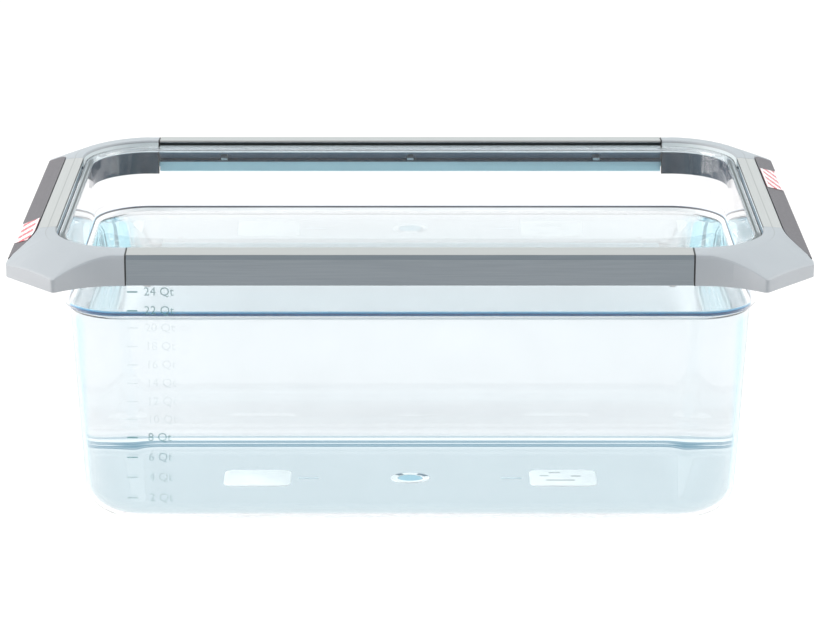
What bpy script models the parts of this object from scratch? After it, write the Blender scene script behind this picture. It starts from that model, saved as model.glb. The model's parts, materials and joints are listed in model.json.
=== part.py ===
"""Sous vide bath: a clear GN 1/1 water tank in a rim frame of four rails and four corner castings.

The tank stands on the floor. The frame wraps the tank's rim flange: two long extruded rails at the
front and back, two short rails with grips at the ends, and a moulded casting at each corner. Keys and
screws inside join the rails to the castings, and spring clips hold the frame on the tank.

Sizes are in millimetres and become metres when a mesh is finished. The frame is worked out in the
quadrant +X +Y with heights measured down from the frame's top plane, and mirrored to the other three.
"""

import math

import bmesh
import bpy
from mathutils import Matrix, Vector

MM = 0.001
GAP = 0.3

# Overall
TOP = 215.9  # height of the frame's top plane above the floor

# Tank: half sizes and corner radii of its horizontal outlines, and its heights above the floor
TANK_WALL = 3.0
FLANGE_HALF = (253.3, 155.8)
FLANGE_RADIUS = 51.8
FLANGE_TOP = TOP - 3.6
FLANGE_THICK = 3.0
RIM_HALF = (250.2, 147.8)
RIM_RADIUS = 45.0
SHOULDER_TOP = 163.4
SHOULDER_FOOT = 157.9
BODY_HALF = (246.3, 144.1)
BASE_HALF = (239.4, 138.3)
BASE_FILLET = 21.0

# Frame: where the straight rails end and the corner castings' arcs are centred
CORNER_CENTRE = (201.5, 104.0)
SIDE_JOINT_X = 199.0
END_JOINT_Y = 101.3
RISER = 52.6  # radius of the frame's opening in the corners, about the corner centre

# Long rails, as distance from the X axis and height below the top plane
SIDE_OUTER = 173.7
SIDE_BOTTOM = -23.3
LIP_BOTTOM = -24.3  # the inner edge hangs lower than the outer face
LAND_DROP = 1.0
LEDGE_TOP = -6.9
LEDGE_FOOT = -9.0

# Ends: the end rail, the bevel outside it and the outer face
END_RISER = 254.2
END_CREASE = 260.6
END_RAIL_BOX = 255.6  # where the plate over the tank's flange meets the box behind it
END_PLATE_FOOT = -2.4
END_RAIL_FOOT = -12.0
END_CHAMBER_TOP = -3.6
END_WALL = 2.0
BEVEL_START = (267.8, -1.2)
END_OUTER = 285.7
BEVEL_SLOPE = 0.66
END_SCREW_X = 261.4
GRIP_BOTTOM = -24.0

# Corner castings, as radius from the corner centre
CASTING_WALL = 2.8
CASTING_BOTTOM = -23.6
SKIRT_BOTTOM = -24.8
CREASE_AT_END = 59.1
CREASE_AT_SIDE = 69.0
CONE_SLOPE = 0.4
CONE_SLOPE_AT_END = 0.114
WING_TIP = (47.0, 87.8)
OUTER_CORNER = (84.2, 46.7)
FLARE_CENTRE = (3.0, 131.7)
FLARE_RADIUS = 62.0
EDGE_RADIUS = 3.0

# Inlays and badges
RECESS_DEPTH = 1.5
INLAY_THICK = 1.2
INLAY_CLEAR = 1.0  # from the casting's edge, along the radius
BADGE_THICK = 0.6

# Fasteners
SHAFT_RADIUS = 1.6
HOLE_RADIUS = 1.95
HEAD_RADIUS = 3.2
HEAD_HEIGHT = 2.0
ROUND_STEPS = 12

# Spring clips on the long rails
CLIP_PLACES = (-147.5, 0.0, 147.5)
CLIP_WIDTH = 5.0


# ---------------------------------------------------------------- materials and finishing


def material(name, colour, roughness, metallic=0.0, transmission=0.0):
    made = bpy.data.materials.new(name)
    made.use_nodes = True
    shader = made.node_tree.nodes["Principled BSDF"]
    shader.inputs["Base Color"].default_value = (*colour, 1.0)
    shader.inputs["Roughness"].default_value = roughness
    shader.inputs["Metallic"].default_value = metallic
    shader.inputs["Transmission Weight"].default_value = transmission
    made.diffuse_color = (*colour, 1.0)
    return made


def finish(name, bm, look, parent, origin=(0.0, 0.0, 0.0)):
    """The mesh as an object whose origin is at the given point, in millimetres of the whole model."""
    bmesh.ops.recalc_face_normals(bm, faces=bm.faces)
    bmesh.ops.translate(bm, vec=-Vector(origin), verts=bm.verts)
    bmesh.ops.scale(bm, vec=(MM, MM, MM), verts=bm.verts)
    mesh = bpy.data.meshes.new(name)
    bm.to_mesh(mesh)
    bm.free()
    mesh.materials.append(look)
    mesh.shade_smooth()
    mesh.set_sharp_from_angle(angle=math.radians(30))
    piece = bpy.data.objects.new(name, mesh)
    piece.location = Vector(origin) * MM
    piece.parent = parent
    bpy.context.scene.collection.objects.link(piece)
    return piece


def mirrored(points, sign_x, sign_y):
    return [Vector((sign_x * x, sign_y * y, z)) for x, y, z in points]


# ---------------------------------------------------------------- shape builders


def loft(rings):
    """One closed body through rings of the same number of points, with its two ends capped."""
    bm = bmesh.new()
    rows = [[bm.verts.new(point) for point in ring] for ring in rings]
    count = len(rows[0])
    for low, high in zip(rows, rows[1:]):
        for i in range(count):
            j = (i + 1) % count
            bm.faces.new((low[i], low[j], high[j], high[i]))
    bm.faces.new(rows[0][::-1])
    bm.faces.new(rows[-1])
    return bm


def prism(outline, start, end, place, holes=()):
    """An outline with its holes, drawn in two coordinates and drawn out along the third."""
    bm = bmesh.new()
    loops = [outline, *holes]
    ends = []
    for along in (start, end):
        edges = []
        rows = []
        for loop in loops:
            row = [bm.verts.new(place(a, b, along)) for a, b in loop]
            edges += [bm.edges.new((v, row[(i + 1) % len(row)])) for i, v in enumerate(row)]
            rows.append(row)
        bmesh.ops.triangle_fill(bm, use_beauty=True, use_dissolve=False, edges=edges)
        ends.append(rows)
    for near, far in zip(*ends):
        for i in range(len(near)):
            j = (i + 1) % len(near)
            bm.faces.new((near[i], near[j], far[j], far[i]))
    return bm


def along_x(side):
    """Places a long rail's section: distance from the X axis, depth below the top plane, and X."""
    return lambda distance, depth, x: Vector((x, side * distance, TOP + depth))


def along_y(side):
    """The same for an end rail: distance from the Y axis, depth below the top plane, and Y."""
    return lambda distance, depth, y: Vector((side * distance, y, TOP + depth))


def turned(profile, centre, axis):
    """A profile of (radius, distance along the axis) turned round the axis through the centre."""
    turn = Vector((0.0, 0.0, 1.0)).rotation_difference(Vector(axis)).to_matrix()
    rings = []
    for radius, along in profile:
        ring = []
        for step in range(ROUND_STEPS):
            angle = math.tau * step / ROUND_STEPS
            spot = Vector((radius * math.cos(angle), radius * math.sin(angle), along))
            ring.append(Vector(centre) + turn @ spot)
        rings.append(ring)
    return loft(rings)


def rounded_rectangle(half_x, half_y, radius, height, steps=9):
    """The outline of a rectangle with round corners, once round from +X +Y."""
    points = []
    for sign_x, sign_y, first in ((1, 1, 0), (-1, 1, 90), (-1, -1, 180), (1, -1, 270)):
        for step in range(steps + 1):
            angle = math.radians(first + 90.0 * step / steps)
            x = sign_x * (half_x - radius) + radius * math.cos(angle)
            y = sign_y * (half_y - radius) + radius * math.sin(angle)
            points.append(Vector((x, y, height)))
    return points


def mix(first, second, share):
    return first + (second - first) * share


def smooth_step(share):
    share = min(max(share, 0.0), 1.0)
    return share * share * (3.0 - 2.0 * share)


# ---------------------------------------------------------------- tank


def tank_skin(inset, floor, fillet):
    """The tank's outlines from its bottom up to the top of the wall, moved inwards by a wall."""
    rings = []
    for step in range(6):
        angle = math.radians(90.0 * step / 5)
        back = inset + fillet * (1.0 - math.sin(angle))
        height = floor + fillet * (1.0 - math.cos(angle))
        rings.append(
            rounded_rectangle(BASE_HALF[0] - back, BASE_HALF[1] - back, RIM_RADIUS - back, height)
        )
    for half, height in (
        (BODY_HALF, SHOULDER_FOOT),
        (RIM_HALF, SHOULDER_TOP),
        (RIM_HALF, FLANGE_TOP - FLANGE_THICK),
    ):
        radius = RIM_RADIUS - inset
        rings.append(rounded_rectangle(half[0] - inset, half[1] - inset, radius, height))
    return rings


def build_tank(look):
    edge = 0.8
    outside = tank_skin(0.0, 0.0, BASE_FILLET)
    inside = tank_skin(TANK_WALL, TANK_WALL, BASE_FILLET - TANK_WALL)
    flange_x, flange_y = FLANGE_HALF
    flange = [
        rounded_rectangle(flange_x, flange_y, FLANGE_RADIUS, FLANGE_TOP - FLANGE_THICK),
        rounded_rectangle(flange_x, flange_y, FLANGE_RADIUS, FLANGE_TOP - edge),
        rounded_rectangle(flange_x - edge, flange_y - edge, FLANGE_RADIUS - edge, FLANGE_TOP),
        rounded_rectangle(RIM_HALF[0], RIM_HALF[1], RIM_RADIUS, FLANGE_TOP),
        rounded_rectangle(
            RIM_HALF[0] - 0.7 * TANK_WALL,
            RIM_HALF[1] - 0.7 * TANK_WALL,
            RIM_RADIUS - 0.7 * TANK_WALL,
            FLANGE_TOP - 0.3 * TANK_WALL,
        ),
    ]
    finish("tank", loft(outside + flange + inside[::-1]), look, None)


# ---------------------------------------------------------------- rails


def side_rail_section():
    """Outline and chamber of a long rail's extrusion, as (distance from the X axis, depth)."""
    riser = CORNER_CENTRE[1] + RISER
    outline = [
        (riser, -0.2),
        (riser + 0.4, 0.0),
        (SIDE_OUTER - 1.1, -LAND_DROP),
        (SIDE_OUTER, -4.4),
        (SIDE_OUTER, SIDE_BOTTOM + 0.6),
        (SIDE_OUTER - 0.6, SIDE_BOTTOM),
        (157.6, SIDE_BOTTOM),
        (157.0, LIP_BOTTOM),
        (154.6, LIP_BOTTOM),
        (154.0, LIP_BOTTOM + 0.6),
        (154.0, -15.3),
        (159.0, -15.3),
        (159.0, LEDGE_FOOT),
        (148.6, LEDGE_FOOT),
        (148.6, LEDGE_TOP),
        (riser, LEDGE_TOP),
        (riser, -3.6),
        (160.6, -3.6),
        (160.6, -1.8),
        (riser, -1.8),
    ]
    chamber = [
        (162.5, -3.4),
        (171.7, -4.6),
        (171.7, -21.3),
        (156.2, -21.3),
        (156.2, -17.5),
        (162.5, -17.5),
    ]
    return outline, chamber


def build_side_rail(name, side, look, parent):
    outline, chamber = side_rail_section()
    half = SIDE_JOINT_X - GAP
    bm = prism(outline, -half, half, along_x(side), [chamber])
    origin = (0.0, side * CORNER_CENTRE[1] + side * RISER, TOP)
    return finish(name, bm, look, parent, origin)


def end_rail_section():
    """Outline and chamber of an end rail: a thin plate reaches over the tank's flange from a box."""
    outline = [
        (END_RISER, -0.2),
        (END_RISER + 0.4, 0.0),
        (END_CREASE, -0.4),
        BEVEL_START,
        (BEVEL_START[0], END_RAIL_FOOT),
        (END_RAIL_BOX, END_RAIL_FOOT),
        (END_RAIL_BOX, END_PLATE_FOOT),
        (END_RISER, END_PLATE_FOOT),
    ]
    inner, outer, foot = END_RAIL_BOX + END_WALL, BEVEL_START[0] - END_WALL, END_RAIL_FOOT + END_WALL
    chamber = [(inner, END_CHAMBER_TOP), (outer, END_CHAMBER_TOP), (outer, foot), (inner, foot)]
    return outline, chamber


def build_end_rail(name, side, look, parent):
    outline, chamber = end_rail_section()
    half = END_JOINT_Y - GAP
    bm = prism(outline, -half, half, along_y(side), [chamber])
    return finish(name, bm, look, parent, (side * END_RISER, 0.0, TOP))


# ---------------------------------------------------------------- grips


def bevel_depth(x):
    return BEVEL_START[1] - BEVEL_SLOPE * (x - BEVEL_START[0])


def build_grip(name, side, look, parent):
    """The handle bar outside an end rail: a sloped top and an outer lip that fingers hook behind."""
    inner = BEVEL_START[0] + GAP
    wall = 3.0
    lip = END_OUTER - wall
    outline = [
        (inner, bevel_depth(inner) - RECESS_DEPTH),
        (END_OUTER, bevel_depth(END_OUTER) - RECESS_DEPTH),
        (END_OUTER, GRIP_BOTTOM + 1.0),
        (END_OUTER - 1.0, GRIP_BOTTOM),
        (lip + 1.0, GRIP_BOTTOM),
        (lip, GRIP_BOTTOM + 1.0),
        (lip, bevel_depth(lip) - RECESS_DEPTH - 2.6),
        (inner + wall, bevel_depth(inner + wall) - RECESS_DEPTH - wall),
        (inner + wall, END_RAIL_FOOT),
        (inner, END_RAIL_FOOT),
    ]
    half = END_JOINT_Y - GAP
    bm = prism(outline, -half, half, along_y(side))
    return finish(name, bm, look, parent, (side * END_OUTER, 0.0, TOP + GRIP_BOTTOM))


# ---------------------------------------------------------------- corner castings


def filleted(before, corner, after, radius, steps):
    """Points that round the corner between two straight lines."""
    corner = Vector(corner)
    to_before = (Vector(before) - corner).normalized()
    to_after = (Vector(after) - corner).normalized()
    half_angle = to_before.angle(to_after) / 2.0
    reach = radius / math.tan(half_angle)
    centre = corner + (to_before + to_after).normalized() * (radius / math.sin(half_angle))
    start = corner + to_before * reach - centre
    turn = (corner + to_after * reach - centre).angle_signed(start)
    return [centre + Matrix.Rotation(turn * i / steps, 2) @ start for i in range(steps + 1)]


def casting_outline():
    """The casting's outer edge in plan, from the end rail round to the long rail, about its centre."""
    face = END_OUTER - CORNER_CENTRE[0]
    side = SIDE_OUTER - CORNER_CENTRE[1]
    points = [Vector((face, 5.0 * step)) for step in range(9)]
    points += filleted((face, 0.0), OUTER_CORNER, WING_TIP, EDGE_RADIUS, 3)
    for share in (0.25, 0.5, 0.75):
        points.append(Vector(OUTER_CORNER).lerp(Vector(WING_TIP), share))
    tip = Vector(WING_TIP) - Vector(FLARE_CENTRE)
    tangent = Vector(WING_TIP) - Vector((-tip.y, tip.x))
    points += filleted(OUTER_CORNER, WING_TIP, tangent, EDGE_RADIUS, 4)
    first = math.atan2(tip.y, tip.x)
    for step in range(2, 10):
        angle = mix(first, -math.pi / 2.0, step / 9.0)
        points.append(Vector(FLARE_CENTRE) + FLARE_RADIUS * Vector((math.cos(angle), math.sin(angle))))
    points.append(Vector((0.0, side)))
    return points


def bevel_edge(theta):
    """Radius at which the casting's cone meets the bevel plane of the handle."""
    crease = mix(CREASE_AT_END, CREASE_AT_SIDE, theta / (math.pi / 2.0))
    slope = cone_slope(theta)
    reach = BEVEL_START[0] - CORNER_CENTRE[0]
    above = BEVEL_START[1] + BEVEL_SLOPE * reach + land_drop(theta) - slope * crease
    return above / max(BEVEL_SLOPE * math.cos(theta) - slope, 0.05)


def cone_slope(theta):
    return mix(CONE_SLOPE_AT_END, CONE_SLOPE, smooth_step(theta / math.radians(25.0)))


def land_drop(theta):
    return mix(0.4, LAND_DROP, theta / (math.pi / 2.0))


def ledge_radius(theta):
    """Radius of the ledge's edge, which follows the tank wall at a small distance."""
    offset_x = RIM_HALF[0] - RIM_RADIUS - CORNER_CENTRE[0]
    offset_y = RIM_HALF[1] - RIM_RADIUS - CORNER_CENTRE[1]
    along = offset_x * math.cos(theta) + offset_y * math.sin(theta)
    across = offset_x * math.sin(theta) - offset_y * math.cos(theta)
    return along + math.sqrt((RIM_RADIUS + 0.8) ** 2 - across**2)


def casting_section(theta, outer):
    """The casting's inverted channel at one angle, as points of (radius, depth)."""
    crease = min(mix(CREASE_AT_END, CREASE_AT_SIDE, theta / (math.pi / 2.0)), outer - 2.6)
    edge = max(min(bevel_edge(theta), outer - 2.0), crease + 0.5)
    recess = RECESS_DEPTH if bevel_edge(theta) < outer - 2.0 else 0.0

    def top(radius):
        drop = land_drop(theta) * min((radius - RISER) / (crease - RISER), 1.0)
        height = -drop - cone_slope(theta) * max(radius - crease, 0.0)
        if recess and radius > edge:
            height = min(height, bevel_depth(CORNER_CENTRE[0] + radius * math.cos(theta)))
        return height

    rim = mix(1.0, 3.4, smooth_step((theta - 1.1) / 0.45)) if not recess else 0.1
    rim_back = 1.1 if not recess else 0.1
    ledge = ledge_radius(theta)
    inner_wall = 56.0
    return [
        (RISER + 0.8, 0.0),
        (crease, top(crease)),
        (edge, top(edge)),
        (edge + 0.3, top(edge + 0.3) - recess),
        (outer - rim_back, top(outer - rim_back) - recess),
        (outer, top(outer - rim_back) - recess - rim),
        (outer, CASTING_BOTTOM + 0.5),
        (outer - 0.5, CASTING_BOTTOM),
        (outer - CASTING_WALL, CASTING_BOTTOM),
        (outer - CASTING_WALL, top(outer - CASTING_WALL) - recess - CASTING_WALL),
        (min(edge, outer - CASTING_WALL - 0.5), top(edge) - recess - CASTING_WALL),
        (inner_wall, top(inner_wall) - CASTING_WALL),
        (inner_wall, LEDGE_FOOT - 0.6),
        (ledge + 2.4, LEDGE_FOOT - 0.6),
        (ledge + 2.4, SKIRT_BOTTOM),
        (ledge, SKIRT_BOTTOM),
        (ledge, LEDGE_TOP),
        (RISER, LEDGE_TOP),
        (RISER, -0.8),
    ]


def build_casting(name, sign_x, sign_y, look, parent):
    centre_x, centre_y = CORNER_CENTRE
    rings = []
    places = [(spot, 0.0, 0.0) for spot in casting_outline()]
    places.insert(0, (places[0][0], 0.0, END_JOINT_Y - centre_y))
    places.append((places[-1][0], SIDE_JOINT_X - centre_x, 0.0))
    for spot, shift_x, shift_y in places:
        theta = math.atan2(spot.y, spot.x)
        ring = [
            (
                centre_x + shift_x + radius * math.cos(theta),
                centre_y + shift_y + radius * math.sin(theta),
                TOP + depth,
            )
            for radius, depth in casting_section(theta, spot.length)
        ]
        rings.append(mirrored(ring, sign_x, sign_y))
    origin = (sign_x * centre_x, sign_y * centre_y, TOP)
    casting = finish(name, loft(rings), look, parent, origin)
    for spot, foot, roof in casting_bosses():
        boss = turned([(4.2, foot), (4.2, roof)], (sign_x * spot[0], sign_y * spot[1], TOP), (0, 0, 1))
        add = finish(f"{name}_boss_shape", boss, look, parent)
        combine(casting, add, "UNION")
    return casting


def casting_bosses():
    """The two screw bosses under a casting's roof: place in plan, lowest and highest depth."""
    side_boss = ((SIDE_JOINT_X + 8.0, 167.0), -5.7, -2.2)
    end_boss = ((END_SCREW_X, 107.6), -5.5, -1.6)
    return side_boss, end_boss


def combine(piece, tool, operation):
    """Joins or cuts with a helper shape, which stays hidden."""
    tool.hide_render = True
    tool.display_type = "WIRE"
    change = piece.modifiers.new(tool.name, "BOOLEAN")
    change.operation = operation
    change.solver = "EXACT"
    change.object = tool


# ---------------------------------------------------------------- inlays and badges


def taper_points(clear):
    """Where the casting meets the bevel, as (x, y) in the +X +Y quadrant, moved outwards."""
    points = []
    for step in range(13):
        theta = math.radians(28.0 * step / 12)
        radius = bevel_edge(theta) + clear
        x = CORNER_CENTRE[0] + radius * math.cos(theta)
        if x < END_OUTER - 1.2:
            points.append((x, CORNER_CENTRE[1] + radius * math.sin(theta)))
    return points


def sloped_plate(outline, side, lift, thick):
    """A plate that follows the bevel plane, its underside lifted above that plane by the given depth."""
    top = [(side * x, y, TOP + bevel_depth(x) + lift + thick) for x, y in outline]
    foot = [(x, y, z - thick) for x, y, z in top]
    return loft([[Vector(p) for p in foot], [Vector(p) for p in top]])


def build_inlay(name, side, look, parent):
    taper = taper_points(INLAY_CLEAR)
    quarter = taper + [(END_OUTER - 0.5, taper[-1][1] + 0.6)]
    outline = quarter + [(x, -y) for x, y in reversed(quarter)]
    bm = sloped_plate(outline, side, -INLAY_THICK, INLAY_THICK)
    return finish(name, bm, look, parent, (side * BEVEL_START[0], 0.0, TOP))


def build_left_badge(look, parent):
    """Reaches from the middle of the handle forwards to the front casting's edge."""
    inner, outer = BEVEL_START[0] + 1.6, END_OUTER - 0.9
    edge = [(x + 0.5, -y) for x, y in taper_points(INLAY_CLEAR) if 105.0 < y < 124.0]
    outline = [(inner, -72.0), (outer, -54.0), (outer, -103.0), *reversed(edge)]
    bm = sloped_plate(outline, -1, GAP, BADGE_THICK)
    return finish("left_badge", bm, look, parent, (-279.0, -85.0, TOP))


def build_right_badge(look, parent):
    inner, outer = BEVEL_START[0] + 1.6, END_OUTER - 0.9
    outline = [(inner, 19.0), (outer, 46.0), (outer, 102.0), (inner, 74.0)]
    bm = sloped_plate(outline, 1, GAP, BADGE_THICK)
    return finish("right_badge", bm, look, parent, (279.0, 60.0, TOP))


# ---------------------------------------------------------------- keys, screws and clips


def build_side_key(name, sign_x, sign_y, look, parent):
    """Joins a long rail to a casting inside both: an L section that fills the rail's chamber."""
    outline = [(163.0, -6.0), (170.4, -6.0), (170.4, -20.9), (156.7, -20.9), (156.7, -18.0), (163.0, -18.0)]
    joint = SIDE_JOINT_X
    bm = prism(outline, sign_x * (joint - 28.0), sign_x * (joint + 15.0), along_x(sign_y))
    return finish(name, bm, look, parent, (sign_x * joint, sign_y * 167.0, TOP - 13.0))


def build_end_key(name, sign_x, sign_y, look, parent):
    outline = [(258.3, -5.8), (265.2, -5.8), (265.2, -9.7), (258.3, -9.7)]
    bm = prism(outline, sign_y * (END_JOINT_Y - 24.0), sign_y * (END_JOINT_Y + 11.5), along_y(sign_x))
    return finish(name, bm, look, parent, (sign_x * END_SCREW_X, sign_y * END_JOINT_Y, TOP - 8.0))


def build_screw(name, seat, axis, length, look, parent):
    """A pan head screw with a socket: the head's flat underside is at the seat, the shaft on the axis."""
    socket = 1.5
    profile = [
        (SHAFT_RADIUS - 0.4, length),
        (SHAFT_RADIUS, length - 0.8),
        (SHAFT_RADIUS, 0.0),
        (HEAD_RADIUS, 0.0),
        (HEAD_RADIUS, -0.55 * HEAD_HEIGHT),
        (0.7 * HEAD_RADIUS, -HEAD_HEIGHT),
        (socket, -HEAD_HEIGHT),
        (socket, -0.4 * HEAD_HEIGHT),
    ]
    return finish(name, turned(profile, seat, axis), look, parent, seat)


def screw_hole(name, seat, axis, length, parent, look):
    """The clearance hole round a screw's shaft, as a cutter."""
    profile = [(HOLE_RADIUS, -0.2), (HOLE_RADIUS, length + 0.5)]
    return finish(name, turned(profile, seat, axis), look, parent, seat)


def screw_places(sign_x, sign_y):
    """Each corner's four screws: what they go through, the seat of the head, the axis and the length."""
    joint_x = SIDE_JOINT_X
    side_rail = (joint_x - 14.5, 167.0, TOP - 23.6)
    side_casting = (joint_x + 8.0, 167.0, TOP - 21.2)
    end_rail = (END_SCREW_X, END_JOINT_Y - 13.0, TOP - 12.3)
    end_casting = (END_SCREW_X, 107.6, TOP - 10.0)
    places = (
        ("side_rail_screw", side_rail, (0, 0, 1), 9.5),
        ("side_casting_screw", side_casting, (0, 0, 1), 18.2),
        ("end_rail_screw", end_rail, (0, 0, 1), 6.2),
        ("end_casting_screw", end_casting, (0, 0, 1), 7.4),
    )
    for kind, (x, y, z), axis, length in places:
        yield kind, (sign_x * x, sign_y * y, z), axis, length


def build_clip(name, x, side, look, parent):
    """A bent spring clip in the long rail's recess whose nose points at the tank wall."""
    outline = [(158.7, -9.3), (153.0, -9.3), (148.2, -12.1), (153.0, -15.0), (158.7, -15.0)]
    opening = [(157.8, -14.1), (153.3, -14.1), (149.5, -12.1), (153.3, -10.2), (157.8, -10.2)]
    bm = prism(outline, x - CLIP_WIDTH / 2.0, x + CLIP_WIDTH / 2.0, along_x(side), [opening])
    return finish(name, bm, look, parent, (x, side * 158.7, TOP - 12.1))


# ---------------------------------------------------------------- assembly


def build_frame(parent, looks):
    rails = {}
    for word, side in (("front", -1), ("back", 1)):
        rails[word] = build_side_rail(f"{word}_rail", side, looks["aluminium"], parent)
        for place, x in zip(("left", "middle", "right"), CLIP_PLACES):
            build_clip(f"tank_clip_{word}_{place}", x, side, looks["steel"], parent)
    for word, side in (("left", -1), ("right", 1)):
        rails[word] = build_end_rail(f"{word}_end_rail", side, looks["aluminium"], parent)
        build_grip(f"{word}_grip", side, looks["grey_plastic"], parent)
        build_inlay(f"{word}_inlay", side, looks["inlay"], parent)
    build_left_badge(looks["badge"], parent)
    build_right_badge(looks["badge"], parent)
    for long_word, sign_y in (("front", -1), ("back", 1)):
        for end_word, sign_x in (("left", -1), ("right", 1)):
            where = f"{long_word}_{end_word}"
            build_corner(where, sign_x, sign_y, rails[long_word], rails[end_word], parent, looks)


def build_corner(where, sign_x, sign_y, side_rail, end_rail, parent, looks):
    """One corner: the casting, its two keys and its four screws with their holes."""
    casting = build_casting(f"corner_{where}", sign_x, sign_y, looks["grey_plastic"], parent)
    side_key = build_side_key(f"side_key_{where}", sign_x, sign_y, looks["aluminium"], parent)
    end_key = build_end_key(f"end_key_{where}", sign_x, sign_y, looks["aluminium"], parent)
    pierced = {
        "side_rail_screw": (side_rail, side_key),
        "side_casting_screw": (casting, side_key),
        "end_rail_screw": (end_rail, end_key),
        "end_casting_screw": (casting, end_key),
    }
    for kind, seat, axis, length in screw_places(sign_x, sign_y):
        build_screw(f"{kind}_{where}", seat, axis, length, looks["steel"], parent)
        hole = screw_hole(f"{kind}_{where}_hole", seat, axis, length, parent, looks["steel"])
        for piece in pierced[kind]:
            combine(piece, hole, "DIFFERENCE")


def main():
    for old in list(bpy.data.objects):
        bpy.data.objects.remove(old, do_unlink=True)
    looks = {
        "clear": material("clear_polycarbonate", (0.9, 0.95, 0.97), 0.05, 0.0, 1.0),
        "aluminium": material("brushed_aluminium", (0.56, 0.58, 0.57), 0.38, 0.9),
        "grey_plastic": material("grey_moulded_plastic", (0.55, 0.58, 0.58), 0.45),
        "inlay": material("dark_textured_inlay", (0.18, 0.165, 0.17), 0.5),
        "badge": material("white_badge", (0.85, 0.83, 0.83), 0.35),
        "steel": material("stainless_steel", (0.6, 0.6, 0.6), 0.3, 1.0),
    }
    build_tank(looks["clear"])
    slide = bpy.data.objects.new("frame_slide_axis", None)
    bpy.context.scene.collection.objects.link(slide)
    build_frame(slide, looks)


main()
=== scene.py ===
"""Looks of the sous vide bath: a clear tank of water in a brushed and moulded rim frame."""

import json
import math

import bmesh
import bpy
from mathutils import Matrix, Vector

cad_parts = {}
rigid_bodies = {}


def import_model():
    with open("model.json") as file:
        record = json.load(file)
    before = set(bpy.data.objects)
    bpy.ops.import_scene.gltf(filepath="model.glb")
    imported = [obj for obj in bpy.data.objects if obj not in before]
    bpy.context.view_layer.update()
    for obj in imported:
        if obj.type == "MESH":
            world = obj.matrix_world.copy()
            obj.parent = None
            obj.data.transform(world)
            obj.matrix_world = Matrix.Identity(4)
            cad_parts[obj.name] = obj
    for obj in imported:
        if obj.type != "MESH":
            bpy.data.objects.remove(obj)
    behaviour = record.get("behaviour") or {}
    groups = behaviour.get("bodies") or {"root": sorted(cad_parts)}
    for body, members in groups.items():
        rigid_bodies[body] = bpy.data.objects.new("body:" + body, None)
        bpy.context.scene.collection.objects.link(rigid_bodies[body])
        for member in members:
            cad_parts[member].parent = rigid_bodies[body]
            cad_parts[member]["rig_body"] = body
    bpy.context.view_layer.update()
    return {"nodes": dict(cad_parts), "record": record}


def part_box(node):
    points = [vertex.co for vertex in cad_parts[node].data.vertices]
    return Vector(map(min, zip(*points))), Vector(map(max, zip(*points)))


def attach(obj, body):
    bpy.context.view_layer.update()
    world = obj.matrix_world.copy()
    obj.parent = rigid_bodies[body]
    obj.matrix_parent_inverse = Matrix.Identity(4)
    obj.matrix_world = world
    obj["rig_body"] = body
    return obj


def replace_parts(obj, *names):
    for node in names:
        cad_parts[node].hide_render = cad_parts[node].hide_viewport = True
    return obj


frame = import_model()

MM = 0.001

# Camera: a long lens a little above the bath, straight in front of it
CAMERA_PLACE = (1.4 * MM, -2401.5 * MM, 846.5 * MM)
CAMERA_PITCH = 16.767  # degrees down
CAMERA_LENS = 144.8
SENSOR_WIDTH = 36.0

# The tank, in millimetres: half sizes and corner radii of its outlines, heights above the floor
TANK_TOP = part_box("tank")[1].z / MM
FRAME_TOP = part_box("front_rail")[1].z / MM
WALL = 3.0
FLANGE_HALF = (253.3, 155.8)
FLANGE_RADIUS = 51.8
FLANGE_THICK = 3.0
RIM_HALF = (250.2, 147.8)
RIM_RADIUS = 45.0
SHOULDER_TOP = 163.4
SHOULDER_FOOT = 157.9
BODY_HALF = (246.3, 144.1)
BASE_HALF = (239.4, 138.3)
BASE_FILLET = 21.0
FILLET_STEPS = 12

# Water: its level, and how far its edge climbs the wall and reaches inwards
WATER_LEVEL = 161.8
WATER_GAP = 0.05
MENISCUS_FOOT = 0.7
MENISCUS_RISE = 3.7
MENISCUS_REACH = 2.2
EDGE_WIDTH = 0.35

# Graduations on the front wall: heights in quarts, and where the lines and numbers stand
GRADUATIONS = {24: 180.5, 22: 166.6, 20: 152.6, 18: 138.6, 16: 124.6, 14: 110.6, 12: 96.6,
               10: 82.8, 8: 68.9, 6: 53.5, 4: 38.0, 2: 22.0}
TICK_X = (-200.7, -193.3)
TICK_HEIGHT = 0.9
TICK_DRIFT = 0.00014  # the lines stand a little further out lower down, as a share per millimetre
NUMBER_X = -189.0
NUMBER_SIZE = 8.8
RELIEF = 0.3
PLAIN_ABOVE = (158.0, 163.0)  # heights over which the marks turn plain above the water
PLAIN_BELOW = (80.0, 73.0)  # and plainer again low on the wall
FAINT_FOOT = (44.0, 66.0)  # under which they fade

# The end walls get a painted blue-green below the water, standing in for light through long paths of water
# and wall, and the flange is greyed by painted shade over the frame's ends
CLEAR_TONES = [(0.3, (0.90, 0.90, 0.915)), (0.7, (0.915, 0.915, 0.93))]
PAINTED_SIDE_TEAL = (0.72, 0.88, 0.94)
PAINTED_SIDE_TEAL_X = (231.0, 238.0)  # starts and is full at these distances from the middle
PAINTED_SIDE_TEAL_TOP = (160.0, 150.0)
# painted shade that greys the flange over the frame's ends
FLANGE_SHADE = (0.62, 0.64, 0.67)
FLANGE_SHADE_X = (247.5, 249.0)
FLANGE_SHADE_FOOT = 3.4  # under the tank's top
POLYCARBONATE_IOR = 1.58
WATER_IOR = 1.333

# Marks on the tank's floor
PAD_X = 115.0
PAD_SIZE = 50.0
DASH_X = 76.5
PAD_BARS = ((-6.0, 16.0, 9.0), (-14.0, 6.0, 7.0), (10.0, 5.0, 8.0), (-2.0, -8.0, 22.0))  # x, y, length
GATE_RADIUS = 14.5
TURN_STEPS = 40

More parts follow.
